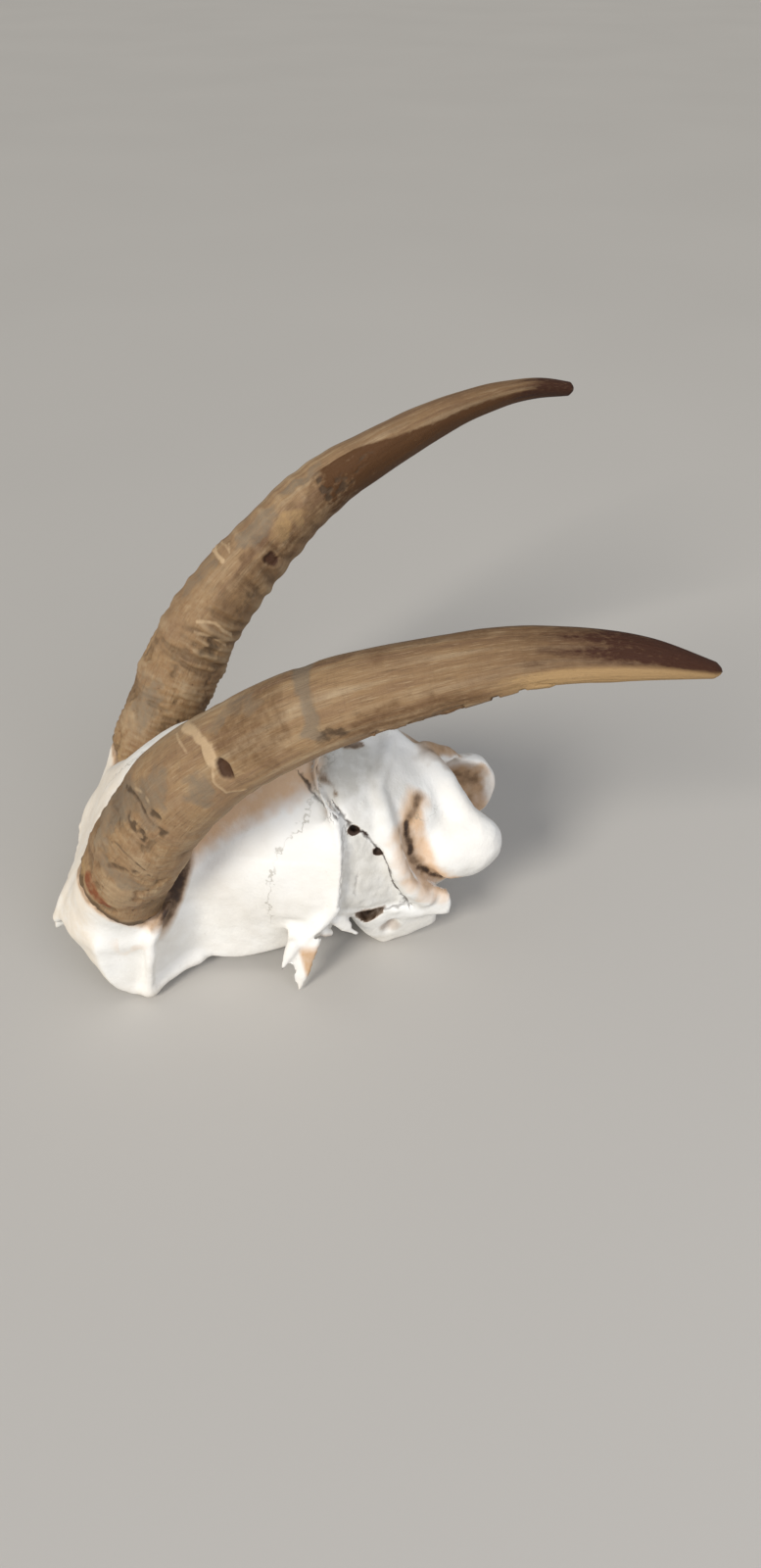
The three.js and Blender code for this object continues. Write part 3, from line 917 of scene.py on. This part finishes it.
def left_horn_marks(place):
    """Scars, cracks and stains of the left sheath."""
    broken = ramp(noise(place.grain, 2.2, 12.0, 2), -0.5, 0.3)
    split = [(80, 296), (83, 280), (85, 262), (84, 238)]
    scar = place.strongest(
        (1, [(107.6, 320), (112, 300), (116.5, 280), (118.6, 266), (118.2, 250)], 3.6, 1.0, 1.0),
        (1, 117.6, 258, 3.6, 8, 0.8, 1.5),
        (0.6, [(118, 250), (114.6, 230), (113.5, 206), (118.9, 190)], 1.4, 0.6, 2.0),
        (0.5, [(104.5, 310), (107.6, 292), (109.8, 276)], 1.3, 0.5, 3.0),
        (0.4 * broken, [(84.5, 280), (88, 262), (88.4, 246)], 1.6, 0.8, 3.5),
    )
    grey = place.strongest(
        (1.2, [(148.5, 345), (150.5, 306), (152, 272), (151.8, 248), (150.1, 222)], 6.0, 1.6, 5.0),
        (0.6, split, 8, 2, 6.0), (0.6, 68, 290, 34, 15, 5.0, 5.2), (0.7, 108, 226, 12, 14, 3.0, 5.4),
        (0.6, 92, 262, 16, 12, 3.0, 5.6), (0.5, 128, 300, 20, 8, 3.0, 5.8), (0.6, 54, 232, 6, 22, 2.0, 5.9),
    )
    cracks = place.strongest(
        (0.4 + 0.5 * broken, split, 1.9, 1.2, 6.0), (1, 23, 167, 7, 6, 1.0, 10.5),
        (broken, 78.4, 249, 4.4, 8, 1.6, 7.0), (broken, 76.6, 230, 3.6, 5, 1.4, 7.2),
        (0.8 * broken, 88, 237, 3.4, 5, 1.2, 8.0), (0.8 * broken, 83.7, 220, 3.4, 5, 1.2, 8.5),
        (0.7 * broken, [(55, 254), (57.6, 236), (59.6, 222), (61.3, 200)], 2.6, 1.8, 9.0),
        (0.6 * broken, [(64, 262), (67, 240), (64, 216)], 1.3, 2.0, 9.5),
        (0.5 * broken, [(70, 300), (72, 282), (69, 262)], 1.3, 1.6, 9.7),
        (0.7 * broken, 155, 209, 10, 6, 1.8, 10.0),
    )
    pit = 1.3 * place.patch(119.8, 233, 4.6, 6.4, 0.5, 4.0)
    return {"scar": scar, "pit": pit, "greyed": grey, "crack": cracks}


def right_horn_marks(place):
    """Scars, cracks and stains of the right sheath."""
    broken = ramp(noise(place.grain, 2.2, 12.0, 2), -0.5, 0.3)
    scar = place.strongest(
        (1, [(107.5, 300), (105.4, 326), (105.2, 348), (108.4, 12)], 2.2, 0.8, 1.0),
        (0.5, [(110.6, 330), (109.4, 350), (111.6, 5)], 1.2, 0.6, 2.0),
        (0.8, [(85, 20), (87.4, 44), (85.4, 80)], 1.7, 0.6, 3.0),
        (0.6, [(81, 24), (82.8, 50), (81, 80)], 1.5, 0.6, 3.0),
    )
    grey = place.strongest(
        (0.7, 122, 352, 20, 9, 3.0, 5.0), (0.7, 142, 344, 16, 7, 2.5, 5.5), (0.6, 50, 5, 22, 12, 4.0, 5.8),
        (0.5, 95, 330, 20, 8, 3.0, 5.9),
    )
    cracks = place.strongest(
        (broken, [(149, 10), (146.6, 30), (147.5, 52)], 3.4, 1.6, 6.0),
        (0.8 * broken, 152, 44, 11, 8, 2.0, 7.0), (0.7 * broken, 161, 26, 14, 6, 2.0, 7.5),
        (0.8, [(48.1, 58), (42.4, 72)], 1.8, 0.8, 8.0), (0.7 * broken, 79, 58, 9, 9, 2.0, 9.0),
        (0.5 * broken, 100, 66, 12, 5, 2.0, 9.5),
    )
    pit = 0.9 * place.patch(117.5, 54, 4.6, 6.5, 1.4, 4.0)
    return {"scar": scar, "pit": pit, "greyed": grey, "crack": cracks}


def shared_horn_marks(place, starts, side):
    """The rim, the rust, the light keratin, the amber keratin and the right sheath's painted shade on either
    side of the keel, and the tip.
    """
    above_rim = place.along - np.tile(starts, len(place.along) // len(starts))
    rough = noise(place.grain, 6.0, 2.0, 2)
    speckled = ramp(noise(place.grain, 2.0, 14.0, 2), -0.6, 0.3)
    below_keel = ramp(place.sideways(np.interp(place.along, *KEEL[side])) * side, 1.0, -1.5)
    straw = 0.6 * speckled * ramp(above_rim + 2.0 * rough, 6, 1)
    straw *= ramp(np.abs(place.sideways(OUTER_CURVE)), 24, 12)
    if side > 0:
        rust = place.stroke([(40.6, 269), (38.8, 259), (37, 247), (36, 236)], 5.0, 1.6, 11.0)
        underside = below_keel * ramp(place.sideways(150), -2, 2) * ramp(place.along, 192, 216)
        straw = np.maximum.reduce([straw, 0.95 * underside, 0.6 * place.patch(34, 285, 14, 12, 2.0, 1.0)])
        amber_and_shade = np.maximum.reduce([
            ramp(np.abs(place.sideways(95)), 16, 8) * ramp(place.along, 60, 110),
            0.36 * ramp(place.sideways(305) + 3 * rough, -3, 3) * ramp(np.abs(place.along - 185), 75, 45),
            place.strongest((0.38, 134, 262, 26, 26, 4.0, 2.0), (0.4, 176, 200, 46, 10, 3.0, 3.0)),
        ])
    else:
        rust = np.zeros(len(place.along))
        straw = np.maximum(straw, 0.6 * place.patch(130, 30, 16, 7, 2.0, 1.0))
        # Painted shade below the keel of the right sheath, in amber, deepening towards the tip.
        amber_and_shade = below_keel * ramp(place.sideways(170), 4, -4) * (0.9 + 0.3 * speckled)
        amber_and_shade *= 0.3 * ramp(place.along + 8 * rough, 112, 138) + 0.7 * ramp(place.along + 8 * rough, 136, 168)
        amber_and_shade = np.maximum(amber_and_shade, 0.42 * place.patch(116, 50, 66, 17, 4.0, 3.0))
    reach, strength = (56, 0.9) if side > 0 else (34, 0.8)
    streaky = noise(place.grain * (1, 1, 0.2), 3.5, 3.0, 2)
    tip = strength * ramp(place.along + 10 * streaky, place.end - reach, place.end - 0.25 * reach)
    return {
        "rust": rust * (0.5 + 0.6 * speckled), "straw": straw, "tip": tip * (1 - straw), "amber_and_shade": amber_and_shade,
        "rim": ramp(above_rim + 1.6 * rough, 4.5, 1.0) * ramp(np.abs(place.sideways(205)), 40, 24),
    }


def rim_starts(line, angles):
    """How far along the horn line the seat plane cuts the skin, at each angle."""
    tries = np.linspace(0, 60, 600)
    starts = []
    for angle in angles:
        skin = horn_skin(line, tries, np.full(len(tries), angle), 0)
        height = (skin - SEAT_POINT) @ np.array(SEAT_NORMAL)
        starts.append(tries[np.argmax(height > 0.3)])
    return np.array(starts)


def build_horn(own, side, name):
    line = HornLine(HORN_LINE if side > 0 else HORN_LINE[:-1] + [BLUNT_TIP])
    rows, columns = own.rows, own.columns
    angles = np.linspace(0, 2 * math.pi, columns, endpoint=False)
    circle = np.column_stack([np.cos(angles), np.sin(angles), np.full(columns, 0.4 * side)]) * GRAIN_RADIUS
    ragged = 0.9 * noise(circle, 3.5, 6.0, 3)
    starts = rim_starts(line, angles)
    share = np.linspace(0, 1, rows)[:, None]
    starts -= 1.6 * ramp(np.abs(np.degrees(angles) - 200), 75, 30)
    along = (starts + ragged * 0.8 + 0.5) * (1 - share) + line.length * share
    along, angle = along.ravel(), np.tile(angles, rows)
    place = HornMap(line, along, angle)
    place.grain[:, 2] += 0 if side > 0 else 400
    marks = shared_horn_marks(place, starts, side)
    marks.update(left_horn_marks(place) if side > 0 else right_horn_marks(place))
    swell = horn_relief(own, place, side)
    marks["groove"], marks["crest"] = ramp(swell, -0.05, -0.8), ramp(swell, 0.15, 0.9)
    swell += sum(height * marks[mark] for mark, height in MARK_HEIGHTS.items())
    flaky = place.stroke([(165, 176), (185, 174), (212, 178)], 4.0, 1.0, 3.0)
    swell += flaky * 0.5 * np.sign(noise(place.grain, 3.5, 9.0))
    thin = ramp(place.along, place.end, place.end - 25)
    skin = horn_skin(line, along, angle, swell * (0.15 + 0.85 * thin))
    lip = horn_skin(line, along[:columns] + 0.5, angles, -LIP)
    inner = horn_skin(line, along[:columns] + HOLLOW_RISE, angles, -HOLLOW_DEPTH)
    points = np.vstack([skin, lip, inner, inner.mean(0)[None]])
    faces = sheath_faces(rows, columns)
    if side < 0:
        points = points * np.array([-1, 1, 1])
        faces = [face[::-1] for face in faces]
    inside = 2 * columns + 1
    marks = {mark: np.concatenate([values, np.full(inside, values[0])]) for mark, values in marks.items()}
    marks["along"] = np.concatenate([along, np.full(inside, along[0])]) / line.length
    marks["grain"] = np.vstack([place.grain, np.repeat(place.grain[:1], inside, axis=0)])
    return mesh_object(name, points, faces, marks, weathered_horn(own))


def sheath_faces(rows, columns):
    """Faces of the skin, the closed tip, the rim's lip and the shallow hollow under it."""
    ahead = [(k + 1) % columns for k in range(columns)]

    def between(first, second):
        return [[first + k, first + ahead[k], second + ahead[k], second + k] for k in range(columns)]

    faces = []
    for row in range(rows - 1):
        faces += between(row * columns, (row + 1) * columns)
    faces.append([(rows - 1) * columns + k for k in range(columns)])
    lip = rows * columns
    faces += [face[::-1] for face in between(0, lip) + between(lip, lip + columns)]
    centre = lip + 2 * columns
    faces += [[lip + columns + ahead[k], lip + columns + k, centre] for k in range(columns)]
    return faces


# ------------------------------------------------------------------ finishes


def add_node(tree, kind, options=None, *values, out=None, stops=(), **inputs):
    """Adds a node and gives back its output. Values go to its sockets in order, inputs by their names."""
    made = tree.nodes.new(kind)
    for option, value in (options or {}).items():
        setattr(made, option, value)
    targets = [socket for socket in made.inputs if socket.enabled]
    named = [(made.inputs[name], value) for name, value in inputs.items()]
    for socket, value in [*zip(targets, values), *named]:
        if isinstance(value, bpy.types.NodeSocket):
            tree.links.new(value, socket)
        else:
            socket.default_value = value
    if stops:
        elements = made.color_ramp.elements
        while len(elements) < len(stops):
            elements.new(0.5)
        for element, (place, shade) in zip(elements, stops):
            element.position = place
            element.color = (*shade, 1)
    return made.outputs[out] if out else next(socket for socket in made.outputs if socket.enabled)


COLOUR = {"data_type": "RGBA"}
ADD = {"operation": "ADD"}
SUBTRACT = {"operation": "SUBTRACT"}
MULTIPLY = {"operation": "MULTIPLY"}
ABSOLUTE = {"operation": "ABSOLUTE"}
UNCLAMPED = {"clamp": False}


def start_material(name, ior, roughness, marks=()):
    """A new material, its shader and a socket for each named mark of the mesh."""
    material = bpy.data.materials.new(name)
    material.use_nodes = True
    tree = material.node_tree
    surface = tree.nodes["Principled BSDF"]
    surface.inputs["IOR"].default_value = ior
    surface.inputs["Roughness"].default_value = roughness
    sockets = {}
    for mark in marks:
        out = "Vector" if mark == "grain" else "Fac"
        sockets[mark] = add_node(tree, "ShaderNodeAttribute", {"attribute_name": mark}, out=out)
    return material, tree, surface, sockets


def bleached_bone(own):
    """Sun-bleached compact bone: chalk white and matt, with dirt in seams and hollows, and painted shade in
    hollows, the ear's dimple, the neck canal, on the prongs' inner faces and behind the horns.
    """
    names = ("hollow", "suture", "cleft", "close", "soil_and_shade", "tan", "dust_and_shade", "cream_and_shade")
    material, tree, surface, mark = start_material("sun_bleached_bone", 1.54, 0.7, names)
    place = add_node(tree, "ShaderNodeTexCoord", out="Object")
    # Broad tints 20 mm wide, blotches 5 mm wide, pores 1 mm wide and a suture's loops about 2 mm long.
    broad, blotch, pores, wander = (
        add_node(tree, "ShaderNodeTexNoise", Vector=place, Scale=scale, Detail=detail, Roughness=rough)
        for scale, detail, rough in ((50, 3, 0.5), (200, 5, 0.6), (1000, 3, 0.5), (480, 1, 0.5))
    )
    tinted, soft, blots, faint = (
        add_node(tree, "ShaderNodeMapRange", {}, *span) for span in (
            (broad, 0.35, 0.75, 0.0, 0.35), (blotch, 0.3, 0.7, 0.8, 1.2), (blotch, 0.3, 0.7, 0.55, 1.35),
            (blotch, 0.38, 0.6, 0.05, 1.0),
        )
    )
    colour = add_node(tree, "ShaderNodeMix", COLOUR, tinted, (*own.white, 1), (*own.cream_and_shade, 1))
    for name, uneven, low, high, strength, tint in (
        ("cream_and_shade", blots, 0.06, 1.0, 0.9, own.cream_and_shade), ("dust_and_shade", blots, 0.06, 1.0, 0.85, own.dust_and_shade),
        ("tan", soft, 0.06, 1.0, 0.85, own.tan), ("soil_and_shade", soft, 0.06, 1.0, 1.0, own.earth_and_shade),
        # The hollow mark paints shade into hollows; the soil mark adds painted shade and shadow to the real
        # soil.
        ("hollow", 1.0, 0.45, 1.4, 0.5, own.earth_and_shade), ("soil_and_shade", soft, 0.6, 1.05, 0.95, own.soil_and_shade),
    ):
        broken = add_node(tree, "ShaderNodeMath", MULTIPLY, mark[name], uneven)
        mask = add_node(tree, "ShaderNodeMapRange", {}, broken, low, high, 0.0, strength)
        colour = add_node(tree, "ShaderNodeMix", COLOUR, mask, colour, (*tint, 1))

    # The suture wanders about 1 mm to either side; the cracks stray a quarter of that.
    firm = add_node(tree, "ShaderNodeMath", MULTIPLY, mark["close"], blots)
    seams = []
    for name, tint, width, reach, strength, uneven in (
        ("suture", own.seam, own.seam_width / MM, 3.2, 0.5, faint), ("cleft", own.soil_and_shade, 0.7, 0.9, 0.8, firm),
    ):
        loops = add_node(tree, "ShaderNodeMapRange", UNCLAMPED, wander, 0.0, 1.0, -reach, reach)
        strayed = add_node(tree, "ShaderNodeMath", ADD, mark[name], loops)
        gap = add_node(tree, "ShaderNodeMath", ABSOLUTE, strayed)
        seam = add_node(tree, "ShaderNodeMapRange", {}, gap, 0.2 * width, width, strength, 0.0)
        seams.append(add_node(tree, "ShaderNodeMath", MULTIPLY, seam, uneven))
        colour = add_node(tree, "ShaderNodeMix", COLOUR, seams[-1], colour, (*tint, 1))

    specks = add_node(tree, "ShaderNodeMapRange", {}, pores, 0.7, 0.78, 0.0, 0.22)
    colour = add_node(tree, "ShaderNodeMix", COLOUR, specks, colour, (*own.earth_and_shade, 1))
    tree.links.new(colour, surface.inputs["Base Color"])

    grain = add_node(tree, "ShaderNodeMath", ADD, pores, blotch)
    for seam in seams:
        grain = add_node(tree, "ShaderNodeMath", SUBTRACT, grain, seam)
    bump = add_node(tree, "ShaderNodeBump", Strength=0.4, Distance=0.4 * MM, Height=grain)
    tree.links.new(bump, surface.inputs["Normal"])
    return material


def weathered_horn(own):
    """Keratin that grew in layers and then weathered: brown, fibrous along its length, dull where dry, with
    painted shade in amber on the right sheath's lower side.
    """
    names = (
        "grain", "along", "scar", "pit", "greyed", "crack", "rust", "straw", "tip", "amber_and_shade", "rim", "groove",
        "crest",
    )
    material, tree, surface, mark = start_material("weathered_horn_keratin", 1.55, 0.55, names)
    surface.inputs["Specular IOR Level"].default_value = 0.3
    grain, along = mark["grain"], mark["along"]
    # Fibres 0.4 mm wide and 5 mm long, drawn coarser than the real ones so that they show.
    squeezed = add_node(tree, "ShaderNodeVectorMath", MULTIPLY, grain, (1, 1, 0.08))
    hooped = add_node(tree, "ShaderNodeVectorMath", MULTIPLY, grain, (0.12, 0.12, 1))
    fibres, hoops, streaks, cloud, bark = (
        add_node(tree, "ShaderNodeTexNoise", Vector=place, Scale=scale, Detail=detail, Roughness=rough)
        for place, scale, detail, rough in (
            (squeezed, 2.4, 4, 0.6), (hooped, 1.1, 3, 0.5), (squeezed, 0.3, 3, 0.5), (grain, 0.07, 5, 0.6),
            (grain, 0.45, 6, 0.65),
        )
    )
    shades = [(0.3, own.mauve), (0.5, own.buff), (0.75, own.light)]
    smooth = add_node(tree, "ShaderNodeValToRGB", stops=shades, Fac=streaks)
    shades = [(0.26, own.dark), (0.36, own.brown), (0.52, own.buff), (0.85, own.light)]
    coarse = add_node(tree, "ShaderNodeValToRGB", stops=shades, Fac=bark)
    middle, worn, flecks, dull = (
        add_node(tree, "ShaderNodeMapRange", {}, *span) for span in (
            (along, 0.3, 0.48, 0.0, 1.0), (along, 0.22, 0.45, 0.35, 1.0), (bark, 0.3, 0.7, 0.6, 1.5),
            (fibres, 0.3, 0.7, 0.58, 0.78),
        )
    )
    colour = add_node(tree, "ShaderNodeMix", COLOUR, middle, coarse, smooth)
    for source, low, high, strength, tint, share in (
        (cloud, 0.42, 0.7, 0.6, own.mauve, 1.0), (hoops, 0.52, 0.7, 0.1, own.dark, 1.0),
        (along, 0.55, 0.85, 0.5, own.amber_and_shade, 1.0), (fibres, 0.56, 0.72, 0.55, own.light, worn),
        (fibres, 0.44, 0.28, 0.45, own.dark, 1.0),
    ):
        mask = add_node(tree, "ShaderNodeMapRange", {}, source, low, high, 0.0, strength)
        mask = add_node(tree, "ShaderNodeMath", MULTIPLY, mask, share)
        colour = add_node(tree, "ShaderNodeMix", COLOUR, mask, colour, (*tint, 1))
    for name, tint, strength in (
        # The amber mark paints shade on the right sheath's lower side.
        ("groove", own.dark, 0.4), ("crest", own.light, 0.35), ("amber_and_shade", own.amber_and_shade, 0.95),
        ("greyed", own.grey, 0.7), ("straw", own.straw, 0.85), ("tip", own.tip, 1.0), ("rim", own.dark, 0.75),
        ("rust", own.rust, 0.9), ("scar", own.scar, 0.7), ("crack", own.dark, 0.85), ("pit", own.tip, 0.9),
    ):
        broken = add_node(tree, "ShaderNodeMath", MULTIPLY, mark[name], flecks)
        mask = add_node(tree, "ShaderNodeMapRange", {}, broken, 0.1, 0.8, 0.0, strength)
        colour = add_node(tree, "ShaderNodeMix", COLOUR, mask, colour, (*tint, 1))
    tree.links.new(colour, surface.inputs["Base Color"])
    tree.links.new(dull, surface.inputs["Roughness"])
    height = add_node(tree, "ShaderNodeMath", ADD, fibres, bark)
    low_hoops = add_node(tree, "ShaderNodeMath", MULTIPLY, hoops, 0.4)
    height = add_node(tree, "ShaderNodeMath", ADD, height, low_hoops)
    bump = add_node(tree, "ShaderNodeBump", Strength=0.6, Distance=0.5 * MM, Height=height)
    tree.links.new(bump, surface.inputs["Normal"])
    return material


def plain_floor(own):
    """A plain matt painted board."""
    material, tree, surface, _ = start_material("matt_painted_board", 1.45, 0.9)
    place = add_node(tree, "ShaderNodeTexCoord", out="Object")
    uneven = add_node(tree, "ShaderNodeTexNoise", Vector=place, Scale=3.0, Detail=2.0)
    shades = [(0.3, [0.97 * c for c in own.floor]), (0.7, own.floor)]
    shade = add_node(tree, "ShaderNodeValToRGB", stops=shades, Fac=uneven)
    tree.links.new(shade, surface.inputs["Base Color"])
    return material


# ------------------------------------------------------------------ stage


FLOOR_WIDTH = 16
# Each lamp's kind, place, target, power, colour, and an area's width or a sun's angle.
LAMPS = {
    "key_light": ("SUN", (0.92, -0.62, 0.68), (0, 0, 0), 2.28, 0xFFFAF2, math.radians(18)),
    "fill_light": ("AREA", (0.9, 0.5, 0.7), (0, 0, 0.05), 5, 0xF4F6FF, 1.0),
}
ROOM_COLOUR, ROOM_STRENGTH = 0xECEEF0, 0.38
FOCAL_LENGTH, SENSOR_WIDTH = 27.05, 36
CAMERA_ASIDE = 10 * MM
CAMERA_TURN = math.radians(88.5)


def add_lamp(name, kind, place, target, power, tint, spread):
    lamp = bpy.data.lights.new(name, kind)
    if kind == "SUN":
        lamp.angle = spread
    else:
        lamp.shape = "DISK"
        lamp.size = spread
    lamp.energy = power
    lamp.color = linear(tint)
    piece = add_object(name, lamp)
    piece.location = place
    piece.rotation_euler = (Vector(target) - piece.location).to_track_quat("-Z", "Y").to_euler()


def build_stage(own, scene):
    bpy.ops.mesh.primitive_plane_add(size=FLOOR_WIDTH)
    floor = bpy.context.object
    floor.name = "pale_floor"
    floor.data.materials.append(plain_floor(own))
    for name, lamp in LAMPS.items():
        add_lamp(name, *lamp)
    world = bpy.data.worlds.new("soft_room")
    world.use_nodes = True
    world.node_tree.nodes["Background"].inputs["Color"].default_value = (*linear(ROOM_COLOUR), 1)
    world.node_tree.nodes["Background"].inputs["Strength"].default_value = ROOM_STRENGTH
    scene.world = world
    lens = bpy.data.cameras.new("camera")
    lens.sensor_width = SENSOR_WIDTH
    lens.lens = FOCAL_LENGTH
    camera = add_object("camera", lens)
    camera.location = (own.camera_distance, CAMERA_ASIDE, own.camera_height)
    camera.rotation_euler = (math.pi / 2 - own.camera_pitch, 0, CAMERA_TURN)
    scene.camera = camera
    scene.view_settings.view_transform = "Standard"


# ------------------------------------------------------------------ operators and panel


class CRANIUM_OT_stage(Operator):
    """Build the floor, the lights and the camera"""

    bl_idname = "cranium.stage"
    bl_label = "Stage"

    def execute(self, context):
        build_stage(settings(context).stage, context.scene)
        return {"FINISHED"}


class CRANIUM_OT_bone(Operator):
    """Build the bleached cranium"""

    bl_idname = "cranium.bone"
    bl_label = "Cranium"

    def execute(self, context):
        piece = build_cranium(settings(context).bone)
        if not piece.data.polygons:
            raise RuntimeError("the cranium has no surface")
        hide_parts("cranium")
        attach(piece, BODY)
        return {"FINISHED"}


class CRANIUM_OT_horns(Operator):
    """Build the two horn sheaths"""

    bl_idname = "cranium.horns"
    bl_label = "Horn sheaths"

    def execute(self, context):
        own = settings(context).horn
        for side, node in ((1, "left_horn"), (-1, "right_horn")):
            piece = build_horn(own, side, node + "_sheath")
            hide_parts(node)
            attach(piece, BODY)
        return {"FINISHED"}


class CraniumSettings(PropertyGroup):
    """Everything that can be set."""

    bone: PointerProperty(type=BoneSettings, name="Bone", description="The cranium")
    horn: PointerProperty(type=HornSettings, name="Horn", description="The horn sheaths")
    stage: PointerProperty(type=StageSettings, name="Stage", description="Floor, lights and camera")


class CRANIUM_PT_sidebar(Panel):
    """The cranium's operators and settings"""

    bl_idname = "CRANIUM_PT_sidebar"
    bl_label = "Horned Cranium"
    bl_space_type = "VIEW_3D"
    bl_region_type = "UI"
    bl_category = "Cranium"

    def draw(self, context):
        own = settings(context)
        for group, operator in (
            (own.stage, CRANIUM_OT_stage), (own.bone, CRANIUM_OT_bone), (own.horn, CRANIUM_OT_horns),
        ):
            box = self.layout.box()
            for name in group.bl_rna.properties.keys():
                if name not in ("rna_type", "name"):
                    box.prop(group, name)
            box.operator(operator.bl_idname)


CLASSES = (
    BoneSettings, HornSettings, StageSettings, CraniumSettings,
    CRANIUM_OT_stage, CRANIUM_OT_bone, CRANIUM_OT_horns, CRANIUM_PT_sidebar,
)


def register():
    for cls in CLASSES:
        bpy.utils.register_class(cls)
    bpy.types.Scene.horned_cranium = PointerProperty(type=CraniumSettings)


def unregister():
    del bpy.types.Scene.horned_cranium
    for cls in reversed(CLASSES):
        bpy.utils.unregister_class(cls)


def main():
    register()
    bpy.ops.cranium.stage()
    bpy.ops.cranium.bone()
    bpy.ops.cranium.horns()


if __name__ == "__main__":
    main()
